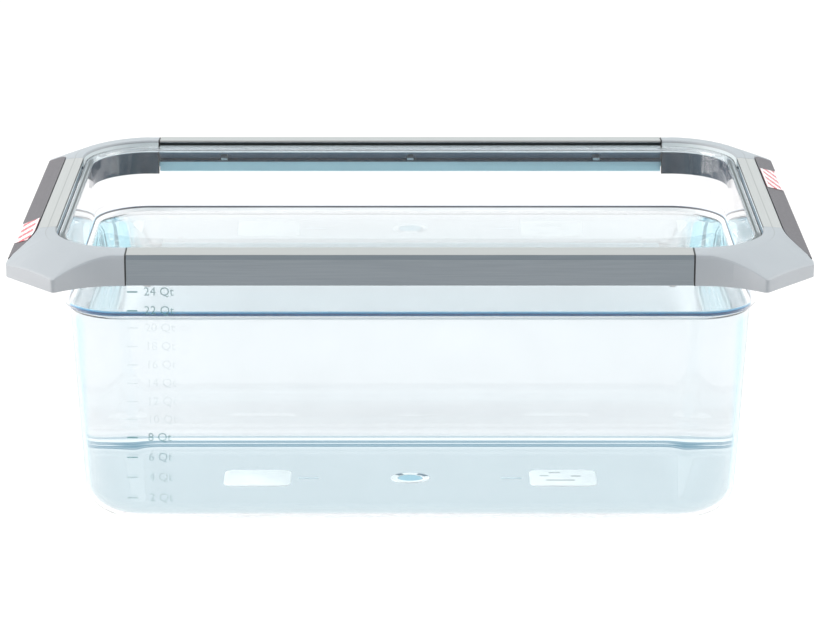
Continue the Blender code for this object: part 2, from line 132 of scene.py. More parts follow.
# The frame: depths of its steps under its top, and where its faces meet
LAND_FOOT = 1.25
SLOT_FOOT = 4.4
LEDGE_FOOT = 7.3
RECESS_FOOT = 14.6
SHADE_FOOT = 16.5
CASTING_LEDGE_FOOT = 7.2
INNER_START = 1.9  # depth from which the long rails' and castings' inner faces count as inner
END_INNER_START = 0.35
CREASE_X = 260.6  # where the end rails' two slopes meet
CASTING_CREASE = (59.1, 69.0)  # radius of the castings' crease about the corner centre, at its two ends
CREASE_FOOT = 3.0
CORNER_CENTRE = (201.5, 104.0)
INNER_RADIUS = (57.2, 55.8)  # about the corner centre: outer faces lie beyond, inner faces within
JOINT_X = 199.0  # where the long rails meet the castings
SEAM = (1.0, 0.8)  # the painted shadow line of the joint gap reaches this far past the joint
BACK_BLEND = 20.0  # the back half's tones blend in over this distance each side of the middle
BADGE_X = 277.1
BADGE_STROKES = (6.4, 5.4)  # distances from the badge's middle line
BADGE_EDGE = (7.1, 7.4)

# Base colours
RAIL_TOP = (0.50, 0.49, 0.48)
# the side faces take a darker tone than the tops as painted shade
RAIL_FACE_SHADE = (0.25, 0.28, 0.305)
RAIL_STEP_LIGHT_AND_SHADE = ((0.07, 0.08, 0.08), (0.78, 0.86, 0.89), (0.09, 0.165, 0.235), (0.04, 0.075, 0.11),
              (0.50, 0.82, 0.92))  # painted shade for the slot, recess and shade line, painted bluish light for the ledge and lip
END_RAIL_TOP = (0.54, 0.525, 0.515)
END_RAIL_FACE_SHADE = (0.40, 0.40, 0.40)
# painted shade for the end rails' crease line
CREASE_SHADE = (0.40, 0.39, 0.38)
CASTING = (0.362, 0.382, 0.406)
# painted bluish light on the castings' inner ledge, then painted shade on their inner back faces
CASTING_LEDGE_LIGHT = (0.60, 0.66, 0.68)
CASTING_INNER_SHADE = (0.03, 0.05, 0.075)
# painted shade for the castings' crease line
CASTING_CREASE_SHADE = (0.30, 0.31, 0.32)
# painted shadow for the line in the rails' joint gaps
SEAM_SHADOW = (0.03, 0.03, 0.03)
WEAVE_TONES = [(0.1, (0.042, 0.036, 0.041)), (1.0, (0.115, 0.098, 0.110))]
STEEL_TONES = [(0.3, (0.5, 0.51, 0.52)), (0.7, (0.66, 0.67, 0.68))]
BADGE_WHITE = (0.86, 0.85, 0.86)
BADGE_RED = (0.55, 0.035, 0.06)
GRADUATION_TONES = [(0.3, (0.15, 0.33, 0.35)), (0.7, (0.20, 0.39, 0.41))]
WATER_TINT = (0.42, 0.86, 0.93)
# painted blues for the light the meniscus bends and reflects
WATERLINE_PAINTED_BLUES = [(0.2, (0.02, 0.22, 0.46)), (0.3, (0.0, 0.06, 0.19)), (0.55, (0.0, 0.13, 0.35)),
                   (0.72, (0.07, 0.46, 0.80)), (0.95, (0.45, 0.76, 0.95))]
# painted shade for the dark line along the water's edge
PAINTED_EDGE_SHADE_TONES = [(0.3, (0.13, 0.13, 0.15)), (0.7, (0.18, 0.18, 0.20))]
# a painted glint on the water's curled edge
PAINTED_GLINT_TONES = [(0.3, (0.88, 0.9, 0.91)), (0.7, (0.92, 0.93, 0.94))]
FLOOR_TONES = [(0.3, (0.49, 0.49, 0.49)), (0.7, (0.51, 0.51, 0.51))]
FLOOR_GLOW = (1.0, 0.93, 0.90)
FLOOR_GLOW_STRENGTH = 0.44
FLOOR_HALF = 14.0  # metres
FLOOR_DROP = 0.0004  # metres under the tank

# The studio's tones by the angle above the horizon, from straight behind (0) over the top to the front (180)
STUDIO_POWER = 1.3
WALL_LIGHT = (0.91, 1.02, 1.04)
CEILING = (0.17, 0.37, 0.49)
OVERHEAD_SCREEN = (1.2, 1.22, 1.23)
FRONT = (0.42, 0.49, 0.53)
STUDIO = [(0, WALL_LIGHT), (83, WALL_LIGHT), (93, CEILING), (103, CEILING),
          (112, OVERHEAD_SCREEN), (132, OVERHEAD_SCREEN), (150, FRONT), (180, FRONT)]
LAMP_COLOUR = (1.0, 0.92, 0.87)
LAMP_AIM = (0.0, 0.0, 0.15)
LAMPS = (  # name, place in metres, size in metres, watts
    ("left_softbox", (-2.0, 0.2, 1.9), (1.5, 1.5), 38.0),
    ("right_softbox", (2.0, 0.2, 1.9), (1.5, 1.5), 32.0),
    ("left_window", (-2.8, -0.35, 0.9), (1.6, 1.2), 40.0),
    ("right_window", (2.8, -0.35, 0.9), (1.6, 1.2), 18.0),
)

# How many times light may turn inside the clear wall and the water: fewer leave black patches
LIGHT_PATHS = {"max_bounces": 32, "glossy_bounces": 16, "transmission_bounces": 24}


# ---------------------------------------------------------------- node helpers


class Nodes:
    """A material's node tree with short calls for adding and joining nodes."""

    def __init__(self, name):
        self.material = bpy.data.materials.new(name)
        self.material.use_nodes = True
        self.tree = self.material.node_tree
        self.shader = self.tree.nodes["Principled BSDF"]
        self.output = self.tree.nodes["Material Output"]
        self.place = self.add("ShaderNodeTexCoord").outputs["Object"]

    def add(self, kind, **settings):
        node = self.tree.nodes.new(kind)
        for key, value in settings.items():
            if key in node.inputs:
                node.inputs[key].default_value = value
            else:
                setattr(node, key, value)
        return node

    def join(self, source, target):
        self.tree.links.new(source, target)

    def stretched(self, scale):
        mapping = self.add("ShaderNodeMapping")
        mapping.inputs["Scale"].default_value = scale
        self.join(self.place, mapping.inputs["Vector"])
        return mapping.outputs["Vector"]

    def noise(self, scale, detail=2.0, stretch=None, roughness=0.5):
        noise = self.add("ShaderNodeTexNoise", Scale=scale, Detail=detail, Roughness=roughness)
        self.join(self.stretched(stretch) if stretch else self.place, noise.inputs["Vector"])
        return noise.outputs["Fac"]

    def ramp(self, value, stops):
        ramp = self.add("ShaderNodeValToRGB")
        elements = ramp.color_ramp.elements
        while len(elements) < len(stops):
            elements.new(0.5)
        for element, (place, colour) in zip(elements, stops):
            element.position = place
            element.color = (*colour, 1.0)
        self.join(value, ramp.inputs["Fac"])
        return ramp.outputs["Color"]

    def spread(self, value, low, high):
        """A 0 to 1 value mapped to a range."""
        node = self.add("ShaderNodeMapRange")
        node.inputs["To Min"].default_value = low
        node.inputs["To Max"].default_value = high
        self.join(value, node.inputs["Value"])
        return node.outputs["Result"]

    def bump(self, height, strength, distance):
        bump = self.add("ShaderNodeBump", Strength=strength, Distance=distance)
        self.join(height, bump.inputs["Height"])
        self.join(bump.outputs["Normal"], self.shader.inputs["Normal"])

    def math(self, operation, first, second=None):
        node = self.add("ShaderNodeMath", operation=operation)
        for value, socket in zip((first, second), node.inputs):
            if isinstance(value, (int, float)):
                socket.default_value = value
            elif value is not None:
                self.join(value, socket)
        return node.outputs["Value"]

    def axes(self):
        parts = self.add("ShaderNodeSeparateXYZ")
        self.join(self.place, parts.inputs["Vector"])
        return [parts.outputs[axis] for axis in "XYZ"]

    def step(self, value, start, end):
        """Rises smoothly from 0 at the start to 1 at the end; the start may be the larger."""
        node = self.add("ShaderNodeMapRange", interpolation_type="SMOOTHSTEP")
        low, high = min(start, end), max(start, end)
        node.inputs["From Min"].default_value = low
        node.inputs["From Max"].default_value = high
        node.inputs["To Min"].default_value = 0.0 if start < end else 1.0
        node.inputs["To Max"].default_value = 1.0 if start < end else 0.0
        self.join(value, node.inputs["Value"])
        return node.outputs["Result"]

    def blend(self, share, first, second):
        """Mixes two colours by a value."""
        node = self.add("ShaderNodeMix", data_type="RGBA")
        self.join(share, node.inputs["Factor"])
        for value, socket in ((first, node.inputs[6]), (second, node.inputs[7])):
            if isinstance(value, tuple):
                socket.default_value = (*value, 1.0)
            else:
                self.join(value, socket)
        return node.outputs[2]

    def distance(self, value, centre=0.0):
        """How far a coordinate lies from a centre in millimetres, on either side."""
        return self.math("ABSOLUTE", self.math("SUBTRACT", value, centre * MM) if centre else value)

    def past(self, value, ends):
        """The step over a pair of places in millimetres."""
        return self.step(value, ends[0] * MM, ends[1] * MM)

    def colour(self, source):
        self.join(source, self.shader.inputs["Base Color"])

    def roughness(self, value, low, high):
        self.join(self.spread(value, low, high), self.shader.inputs["Roughness"])

    def set(self, **values):
        for key, value in values.items():
            self.shader.inputs[key.replace("_", " ")].default_value = value


def shade(colour, amount):
    return tuple(min(1.0, c * amount) for c in colour)


def corner_reach(m):
    """How far a point lies past the nearest corner centre, along X and along Y."""
    return [m.math("MAXIMUM", m.math("SUBTRACT", m.distance(value), centre * MM), 0.0)
            for value, centre in zip(m.axes(), CORNER_CENTRE)]


def corner_radius(m, reach):
    squares = [m.math("POWER", value, 2.0) for value in reach]
    return m.math("SQRT", m.math("ADD", *squares))


# The frame's painted shade and light on its inner faces follow this mask.
def inner_side(m, start=INNER_START):
    """1 on the frame's faces that look at the tank from a depth down, 0 on those that look out or up."""
    near = m.past(corner_radius(m, corner_reach(m)), INNER_RADIUS)
    return m.math("MULTIPLY", near, depth_step(m, start, 0.15))


def back_half(m):
    """1 on the half of the frame behind the tank's middle."""
    return m.past(m.axes()[1], (-BACK_BLEND, BACK_BLEND))


def inner_back(m):
    return m.math("MULTIPLY", inner_side(m), back_half(m))


def depth_step(m, depth, blur=0.2):
    """Rises from 0 to 1 on the way down past a depth under the frame's top."""
    z = m.axes()[2]
    return m.step(z, (FRAME_TOP - depth + blur) * MM, (FRAME_TOP - depth - blur) * MM)


# ---------------------------------------------------------------- materials


def brushed_aluminium(name, along, top, face, shaded):
    """Satin anodised aluminium with fine brushing along one axis, its side faces in a darker tone of painted
    shade, and painted shade and light for its inner steps.
    """
    m = Nodes(name)
    stretch = tuple(1.0 if axis == along else 60.0 for axis in range(3))
    grain = m.noise(22.0, 4.0, stretch, 0.6)
    cloud = m.noise(9.0, 2.0)
    # painted light and shade: the lands take the lighter top tone, the side faces the darker, shaded one
    lands = m.ramp(grain, [(0.3, shade(top, 0.95)), (0.7, shade(top, 1.04))])
    sides = m.ramp(grain, [(0.3, shade(face, 0.93)), (0.7, shade(face, 1.06))])
    outer = m.blend(depth_step(m, LAND_FOOT), lands, sides)
    # painted shade and light down the inner faces' steps
    inner = RAIL_STEP_LIGHT_AND_SHADE[0]
    for foot, tone in zip((SLOT_FOOT, LEDGE_FOOT, RECESS_FOOT, SHADE_FOOT), RAIL_STEP_LIGHT_AND_SHADE[1:]):
        inner = m.blend(depth_step(m, foot), inner, tone)
    m.colour(m.blend(shaded(m), outer, inner))
    m.roughness(cloud, 0.36, 0.46)
    m.set(Metallic=0.6, Specular_IOR_Level=0.5)
    m.bump(grain, 0.08, 0.0002)
    return m


def with_crease_shade(m):
    """Paints shade along the fine line where the two slopes of an end rail meet."""
    tone = m.shader.inputs["Base Color"].links[0].from_socket
    away = m.distance(m.distance(m.axes()[0]), CREASE_X)
    # painted shade along the crease
    m.colour(m.blend(m.past(away, (0.55, 0.2)), tone, CREASE_SHADE))
    return m


def crease_line(m, tone):
    """A casting's tone with painted shade along the fine line where its flat land meets the cone."""
    reach = corner_reach(m)
    turn = m.math("DIVIDE", m.math("ARCTAN2", reach[1], reach[0]), math.pi / 2.0)
    line = m.spread(turn, CASTING_CREASE[0] * MM, CASTING_CREASE[1] * MM)
    away = m.distance(m.math("SUBTRACT", corner_radius(m, reach), line))
    near_end = m.math("MAXIMUM", back_half(m), m.step(turn, 0.45, 0.1))
    line_share = m.math("MULTIPLY", m.past(away, (0.5, 0.15)), near_end)
    line_share = m.math("MULTIPLY", line_share, m.math("SUBTRACT", 1.0, depth_step(m, CREASE_FOOT)))
    return m.blend(line_share, tone, CASTING_CREASE_SHADE)


def grey_plastic(name):
    """Moulded grey plastic with a fine spark-eroded grain, painted shade and light on its inner back faces,
    painted shade along its crease, and a painted shadow line at the rails' joints.
    """
    m = Nodes(name)
    grain = m.noise(1800.0, 2.0)
    cloud = m.noise(14.0, 3.0)
    outer = m.ramp(cloud, [(0.3, shade(CASTING, 0.97)), (0.7, shade(CASTING, 1.03))])
    # painted light on the inner ledge and painted shade below it, on the inner back faces
    steps = m.blend(depth_step(m, CASTING_LEDGE_FOOT), CASTING_LEDGE_LIGHT, CASTING_INNER_SHADE)
    tone = m.blend(inner_back(m), crease_line(m, outer), steps)
    # painted shadow line at the joint gap
    joint_shadow = m.past(m.distance(m.axes()[0]), [JOINT_X + reach for reach in SEAM])
    m.colour(m.blend(joint_shadow, tone, SEAM_SHADOW))
    m.roughness(grain, 0.42, 0.56)
    m.bump(grain, 0.12, 0.0001)
    return m.material


def woven_inlay(name):
    """A dark strip with a fine diagonal weave under a satin film."""
    m = Nodes(name)
    waves = []
    for turn in (1.0, -1.0):
        mapping = m.add("ShaderNodeMapping")
        mapping.inputs["Rotation"].default_value = (0.0, 0.0, turn * math.radians(50.0))
        m.join(m.place, mapping.inputs["Vector"])
        wave = m.add("ShaderNodeTexWave", Scale=190.0, Distortion=0.4, Detail=1.0)
        m.join(mapping.outputs["Vector"], wave.inputs["Vector"])
        waves.append(wave.outputs["Fac"])
    weave = m.add("ShaderNodeMath", operation="MULTIPLY_ADD")
    m.join(waves[0], weave.inputs[0])
    weave.inputs[1].default_value = 0.72
    m.join(waves[1], weave.inputs[2])
    m.colour(m.ramp(weave.outputs["Value"], WEAVE_TONES))
    m.roughness(m.noise(400.0), 0.4, 0.55)
    m.bump(weave.outputs["Value"], 0.25, 0.0001)
    return m.material


def lacquer(name, colour, roughness):
    """Smooth coloured lacquer, a little cloudy."""
    m = Nodes(name)
    cloud = m.noise(120.0, 3.0)
    m.colour(m.ramp(cloud, [(0.3, shade(colour, 0.95)), (0.7, shade(colour, 1.03))]))
    m.roughness(cloud, roughness * 0.8, roughness * 1.2)
    m.bump(m.noise(900.0), 0.05, 0.0001)
    return m.material


def badge_face(name):
    """White lacquer with a generic pattern of slanted red strokes."""
    m = Nodes(name)
    mapping = m.add("ShaderNodeMapping")
    mapping.inputs["Rotation"].default_value = (0.0, 0.0, math.radians(24.0))
    m.join(m.place, mapping.inputs["Vector"])
    wave = m.add("ShaderNodeTexWave", bands_direction="Y", Scale=21.0, Distortion=3.0, Detail=1.0)
    wave.inputs["Detail Scale"].default_value = 60.0
    m.join(mapping.outputs["Vector"], wave.inputs["Vector"])
    strip = m.distance(m.distance(m.axes()[0]), BADGE_X)
    strokes = m.math("MULTIPLY", m.step(wave.outputs["Fac"], 0.4, 0.6), m.past(strip, BADGE_STROKES))
    red = m.math("MAXIMUM", strokes, m.math("MULTIPLY", m.past(strip, BADGE_EDGE), 0.6))
    m.colour(m.blend(red, BADGE_WHITE, BADGE_RED))
    m.roughness(m.noise(120.0), 0.25, 0.35)
    return m.material


def spring_steel(name):
    """Bright drawn steel with a grain along X."""
    m = Nodes(name)
    grain = m.noise(300.0, 3.0, (1.0, 8.0, 8.0))
    m.colour(m.ramp(grain, STEEL_TONES))
    m.roughness(grain, 0.22, 0.36)
    m.set(Metallic=1.0)
    m.bump(grain, 0.05, 0.0001)
    return m.material


def mix_shaders(m, share, first, second):
    mixed = m.add("ShaderNodeMixShader")
    for source, socket in zip((share, first, second), mixed.inputs):
        m.join(source, socket)
    m.join(mixed.outputs["Shader"], m.output.inputs["Surface"])


def let_lamps_through(m, tint):
    """Mixes in a Transparent shader for shadow rays, so that lamps light what is behind."""
    shadow = m.add("ShaderNodeLightPath").outputs["Is Shadow Ray"]
    clear = m.add("ShaderNodeBsdfTransparent", Color=(*tint, 1.0))
    mix_shaders(m, shadow, m.shader.outputs["BSDF"], clear.outputs["BSDF"])


def clear_polycarbonate(name):
    """Clear plastic with a painted blue-green on the end walls below the water, standing in for light through
    long paths of water and wall, and a flange greyed by painted shade over the frame's ends.
    """
    m = Nodes(name)
    clear = m.ramp(m.noise(30.0, 2.0), CLEAR_TONES)
    x, _, z = m.axes()
    # painted blue-green light on the end walls below the water
    low_side = m.math("MULTIPLY", m.past(m.distance(x), PAINTED_SIDE_TEAL_X), m.past(z, PAINTED_SIDE_TEAL_TOP))
    with_painted_teal = m.blend(low_side, clear, PAINTED_SIDE_TEAL)
    # painted shade greys the flange where it lies over the frame's ends
    high = m.math("SUBTRACT", 1.0, depth_step(m, FRAME_TOP - TANK_TOP + FLANGE_SHADE_FOOT))
    over_end = m.math("MULTIPLY", m.past(m.distance(x), FLANGE_SHADE_X), high)
    m.colour(m.blend(over_end, with_painted_teal, FLANGE_SHADE))
    m.set(Transmission_Weight=1.0, IOR=POLYCARBONATE_IOR, Roughness=0.0)
    let_lamps_through(m, (0.95, 0.975, 0.985))
    return m.material


def graduation_material(name, weakest, strongest):
    """Raised marks in the clear wall, plainest above the water and low on the wall."""
    m = Nodes(name)
    z = m.axes()[2]
    strong = m.math("MAXIMUM", m.past(z, PLAIN_ABOVE), m.math("MULTIPLY", m.past(z, PLAIN_BELOW), 0.75))
    strong = m.math("MULTIPLY", strong, m.math("ADD", m.past(z, FAINT_FOOT), 0.35))
    share = m.spread(m.math("MINIMUM", strong, 1.0), weakest, strongest)
    m.colour(m.ramp(m.noise(160.0), GRADUATION_TONES))
    m.set(Roughness=0.4)
    clear = m.add("ShaderNodeBsdfTransparent")
    mix_shaders(m, share, clear.outputs["BSDF"], m.shader.outputs["BSDF"])
    return m.material


def water_material():
    """Clear water that takes out a little red with depth."""
    m = Nodes("water")
    m.set(Base_Color=(0.985, 0.995, 1.0, 1.0), Roughness=0.0, Transmission_Weight=1.0, IOR=WATER_IOR)
    let_lamps_through(m, (0.93, 0.97, 0.985))
    absorb = m.add("ShaderNodeVolumeAbsorption", Density=0.55, Color=(*WATER_TINT, 1.0))
    m.join(absorb.outputs["Volume"], m.output.inputs["Volume"])
    return m.material


def waterline_material():
    """Painted blues at the water's edge, standing in for the light its curved surface bends and reflects, by
    how far it has climbed the wall.
    """
    m = Nodes("waterline")
    climb = m.add("ShaderNodeMapRange")
    climb.inputs["From Min"].default_value = WATER_LEVEL * MM
    climb.inputs["From Max"].default_value = (WATER_LEVEL + MENISCUS_RISE) * MM
    m.join(m.axes()[2], climb.inputs["Value"])
    wobble = m.math("ADD", climb.outputs["Result"], m.spread(m.noise(12.0), -0.06, 0.06))
    m.colour(m.ramp(wobble, WATERLINE_PAINTED_BLUES))
    m.set(Roughness=0.4, Specular_IOR_Level=0.1)
    return m.material


def edge_material(name, tones, roughness):
    m = Nodes(name)
    m.colour(m.ramp(m.noise(20.0), tones))
    m.set(Roughness=roughness)
    return m.material


# ---------------------------------------------------------------- mesh helpers


def new_piece(name, bm, look, body, smooth_angle=35.0):
    """A finished mesh in metres that rides on a CAD body, if one is named."""
    bmesh.ops.recalc_face_normals(bm, faces=bm.faces)
    mesh = bpy.data.meshes.new(name)
    bm.to_mesh(mesh)
    bm.free()
    mesh.materials.append(look)
    mesh.shade_smooth()
    mesh.set_sharp_from_angle(angle=math.radians(smooth_angle))
    piece = bpy.data.objects.new(name, mesh)
    bpy.context.scene.collection.objects.link(piece)
    if body:
        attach(piece, body)
    return piece


def soften(piece, width):
    bevel = piece.modifiers.new("soft_edges", "BEVEL")
    bevel.width = width
    bevel.segments = 2
    bevel.limit_method = "ANGLE"
    bevel.angle_limit = math.radians(32.0)
    bevel.harden_normals = True


def polished(node, look, edge, smooth_angle=35.0):
    """A welded copy of a CAD node with broken edges, in place of the node."""
    bm = bmesh.new()
    bm.from_mesh(frame["nodes"][node].data)
    bmesh.ops.remove_doubles(bm, verts=bm.verts, dist=0.00002)
    bmesh.ops.dissolve_limit(bm, angle_limit=math.radians(0.5), verts=bm.verts, edges=bm.edges)
    piece = new_piece(f"{node}_finished", bm, look, frame["nodes"][node]["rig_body"], smooth_angle)
    if edge:
        soften(piece, edge)
    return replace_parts(piece, node)


def loft(rings, closed=False):
    """A body through rings of the same number of points, capped, or closed from last to first."""
    bm = bmesh.new()
    rows = [[bm.verts.new(Vector(point) * MM) for point in ring] for ring in rings]
    pairs = list(zip(rows, rows[1:])) + ([(rows[-1], rows[0])] if closed else [])
    for low, high in pairs:
        for i in range(len(low)):
            j = (i + 1) % len(low)
            bm.faces.new((low[i], low[j], high[j], high[i]))
    if not closed:
        bm.faces.new(rows[0][::-1])
        bm.faces.new(rows[-1])
    return bm


def rounded_rectangle(half_x, half_y, radius, height, steps=20):
    """The points of a rectangle with round corners, counter-clockwise at one height."""
    points = []
    for sign_x, sign_y, first in ((1, 1, 0), (-1, 1, 90), (-1, -1, 180), (1, -1, 270)):
        for step in range(steps + 1):
            angle = math.radians(first + 90.0 * step / steps)
            x = sign_x * (half_x - radius) + radius * math.cos(angle)
            y = sign_y * (half_y - radius) + radius * math.sin(angle)
            points.append((x, y, height))
    return points


def outline_at(half, radius, inset, height):
    return rounded_rectangle(half[0] - inset, half[1] - inset, radius - inset, height)


def mix(first, second, share):
    return first + (second - first) * share


def half_sizes(height):
    """The tank's outer half sizes at a height, on its straight walls."""
    if height >= SHOULDER_TOP:
        return RIM_HALF
    if height >= SHOULDER_FOOT:
        share = (height - SHOULDER_FOOT) / (SHOULDER_TOP - SHOULDER_FOOT)
        share = share * share * (3.0 - 2.0 * share)
        return tuple(mix(b, r, share) for b, r in zip(BODY_HALF, RIM_HALF))
    share = max(height - BASE_FILLET, 0.0) / (SHOULDER_FOOT - BASE_FILLET)
    return tuple(mix(b, t, share) for b, t in zip(BASE_HALF, BODY_HALF))


def wall_rings(inset, floor, fillet, top):
    """Outlines of the tank's skin, moved inwards, from the bottom up to a height."""
    rings = []
    for step in range(FILLET_STEPS + 1):
        angle = math.radians(90.0 * step / FILLET_STEPS)
        back = inset + fillet * (1.0 - math.sin(angle))
        rings.append(outline_at(BASE_HALF, RIM_RADIUS, back, floor + fillet * (1.0 - math.cos(angle))))
    heights = [mix(BASE_FILLET, SHOULDER_FOOT, i / 6.0) for i in range(1, 7)]
    heights += [mix(SHOULDER_FOOT, SHOULDER_TOP, i / 8.0) for i in range(1, 9)]
    heights.append(top)
    for height in sorted(set(min(h, top) for h in heights)):
        rings.append(outline_at(half_sizes(height), RIM_RADIUS, inset, height))
    return rings


# ---------------------------------------------------------------- the tank


def arc_steps(first, last, count):
    """The cosine and sine of evenly spaced angles in degrees, both ends included."""
    for step in range(count + 1):
        turn = math.radians(first + (last - first) * step / count)
        yield math.cos(turn), math.sin(turn)


def rim_rings():
    """Outlines of the rolled rim: the fillet under the flange, its round edge and the inner roll."""
    under = TANK_TOP - FLANGE_THICK
    edge = FLANGE_THICK / 2.0
    rim = [outline_at(RIM_HALF, RIM_RADIUS, cosine - 1.0, under - 1.0 + sine)
           for cosine, sine in arc_steps(0, 90, 4)]
    rim.append(outline_at(FLANGE_HALF, FLANGE_RADIUS, 0.9, under))
    rim += [outline_at(FLANGE_HALF, FLANGE_RADIUS, edge - edge * cosine, under + edge + edge * sine)
            for cosine, sine in arc_steps(-90, 90, 8)]
    rim += [outline_at(RIM_HALF, RIM_RADIUS, 0.2 + 2.8 * sine, TANK_TOP - 2.6 * (1.0 - cosine))
            for cosine, sine in arc_steps(0, 90, 5)]
    return rim


def build_tank(look):
    """The clear tank, with a rolled rim and smooth fillets, in place of its plain CAD solid."""
    outside = wall_rings(0.0, 0.0, BASE_FILLET, TANK_TOP - FLANGE_THICK - 1.0)
    inside = wall_rings(WALL, WALL, BASE_FILLET - WALL, TANK_TOP - 3.0)
    rings = outside + rim_rings() + inside[::-1]
    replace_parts(new_piece("clear_tank", loft(rings), look, "tank", 50.0), "tank")


def build_water(look):
    """The water that fills the tank in use. It isn't part of the bath."""
    inset = WALL + WATER_GAP
    rings = wall_rings(inset, inset, BASE_FILLET - inset, WATER_LEVEL)
    new_piece("water", loft(rings), look, None, 60.0)


def build_waterline(looks):
    """The edge of the water, curled up the wall: painted blue from outside, a painted pale glint under a
    painted dark edge line from within.
    """
    foot, head = WATER_LEVEL + MENISCUS_FOOT, WATER_LEVEL + MENISCUS_RISE
    hug = WALL + WATER_GAP
    rings = [(hug, foot), (hug, mix(foot, head, 0.5)), (hug, head), (hug + EDGE_WIDTH, head)]
    for share in (0.2, 0.4, 0.6, 0.8, 1.0):
        fall = 1.0 - (1.0 - share) ** 2
        rings.append((hug + EDGE_WIDTH + MENISCUS_REACH * share, mix(head, WATER_LEVEL + 0.1, fall)))
    bm = loft([outline_at(half_sizes(z), RIM_RADIUS, inset, z) for inset, z in rings], closed=True)
    blue, pale, dark = range(3)
    line = new_piece("waterline", bm, looks[blue], None, 25.0)
    line.data.materials.append(looks[pale])
    line.data.materials.append(looks[dark])
    per_ring = len(line.data.polygons) // len(rings)
    for i, face in enumerate(line.data.polygons):
        ring = i // per_ring
        face.material_index = blue if ring < 3 else dark if ring == 3 else pale


# ---------------------------------------------------------------- marks on the tank


def box(low, high):
    corners = ((low[0], low[1]), (high[0], low[1]), (high[0], high[1]), (low[0], high[1]))
    return loft([[(x, y, z) for x, y in corners] for z in (low[2], high[2])])


def build_graduations(look, line_look):
    """Raised lines and numbers on the outside of the front wall, in quarts."""
    for quarts, height in GRADUATIONS.items():
        face = -half_sizes(height)[1] - 0.02
        start, end = (x * (1.0 + TICK_DRIFT * (GRADUATIONS[24] - height)) for x in TICK_X)
        bm = box((start, face - RELIEF, height - TICK_HEIGHT / 2), (end, face, height + TICK_HEIGHT / 2))
        new_piece(f"line_{quarts:02d}", bm, line_look, "tank", 20.0)
        build_number(f"{quarts} Qt", f"number_{quarts:02d}", height, face, look)


def build_number(text, name, height, face, look):
    """A raised text on the front wall, made into a mesh."""
    curve = bpy.data.curves.new(name, "FONT")
    curve.body = text
    curve.size = NUMBER_SIZE
    curve.extrude = RELIEF / 2
    curve.align_y = "CENTER"
    curve.resolution_u = 3
    shape = bpy.data.objects.new(name, curve)
    mesh = bpy.data.meshes.new_from_object(shape)
    bm = bmesh.new()
    bm.from_mesh(mesh)
    bpy.data.objects.remove(shape)
    bpy.data.meshes.remove(mesh)
    for vert in bm.verts:
        x, z, depth = vert.co
        vert.co = Vector((NUMBER_X + x, face - RELIEF / 2 - depth, height + z)) * MM
    new_piece(name, bm, look, "tank", 30.0)


def rounded_plate(centre, size, radius, low, high):
    """A flat plate with round corners and a slightly broken top edge."""
    rings = []
    for inset, z in ((0.0, low), (0.0, high - 0.1), (0.15, high)):
        ring = rounded_rectangle(size[0] / 2 - inset, size[1] / 2 - inset, radius - inset, z, 6)
        rings.append([(x + centre[0], y + centre[1], z) for x, y, z in ring])
    return loft(rings)


def build_floor_marks():
    """Two white label pads, two faint ejector marks, and four bars of print on the right-hand pad."""
    low = WALL + 0.02
    white = lacquer("white_label", (0.97, 0.97, 0.97), 0.4)
    faint = lacquer("faint_mark", (0.64, 0.75, 0.80), 0.4)
    grey = lacquer("grey_print", (0.5, 0.52, 0.53), 0.5)
    for word, side in (("left", -1), ("right", 1)):
        plate = rounded_plate((side * PAD_X, 0.0), (PAD_SIZE, PAD_SIZE), 8.0, low, low + 0.4)
        new_piece(f"{word}_label_pad", plate, white, "tank")
        dash = rounded_plate((side * DASH_X, 0.0), (16.0, 3.0), 1.4, low, low + 0.25)
        new_piece(f"{word}_ejector_mark", dash, faint, "tank")
    top = low + 0.42
    for number, (x, y, length) in enumerate(PAD_BARS, 1):
        bar = rounded_plate((PAD_X + x, y), (length, 3.0), 1.3, top, top + 0.2)
        new_piece(f"right_pad_bar_{number}", bar, grey, "tank")
    build_gate(low, white)


def build_gate(low, white):
    """The round mark of the moulding gate: a blue disc in a white ring with two dark arcs on it."""
    blue = lacquer("gate_centre", (0.26, 0.52, 0.64), 0.3)
    dark = lacquer("gate_shadow", (0.03, 0.09, 0.14), 0.3)
    new_piece("gate_disc", turned(band(0.0, 9.0, low, low + 0.3)), blue, "tank")
    new_piece("gate_ring", turned(band(10.0, GATE_RADIUS, low, low + 0.5), closed=True), white, "tank")
    for word, first, last in (("right", 20.0, 62.0), ("left", 118.0, 142.0)):
        arc = turned(band(10.5, 14.2, low + 0.52, low + 0.8), first, last, closed=True)
        new_piece(f"gate_arc_{word}", arc, dark, "tank")


def band(inner, outer, low, high):
    """The square profile of a ring or disc, as (radius, height)."""
    return [(inner, low), (outer, low), (outer, high), (inner, high)]


def turned(profile, first=0.0, last=360.0, closed=False):
    """A profile of (radius, height) turned about the Z axis, whole or between two angles."""
    bm = bmesh.new()
    whole = last - first >= 360.0
    count = TURN_STEPS if whole else TURN_STEPS // 4 + 1
    rows = []
    for radius, z in profile:
        if radius == 0.0:
            rows.append([bm.verts.new(Vector((0.0, 0.0, z)) * MM)] * count)
            continue
        row = []
        for i in range(count):
            angle = math.radians(mix(first, last, i / (count if whole else count - 1)))
            row.append(bm.verts.new(Vector((radius * math.cos(angle), radius * math.sin(angle), z)) * MM))
        rows.append(row)
    pairs = list(zip(rows, rows[1:])) + ([(rows[-1], rows[0])] if closed else [])
    for low, high in pairs:
        for i in range(count if whole else count - 1):
            j = (i + 1) % count
            corners = list(dict.fromkeys((low[i], low[j], high[j], high[i])))
            if len(corners) > 2:
                bm.faces.new(corners)
    if not whole:
        bm.faces.new([row[0] for row in rows])
        bm.faces.new([row[-1] for row in rows][::-1])
    return bm


# ---------------------------------------------------------------- stage


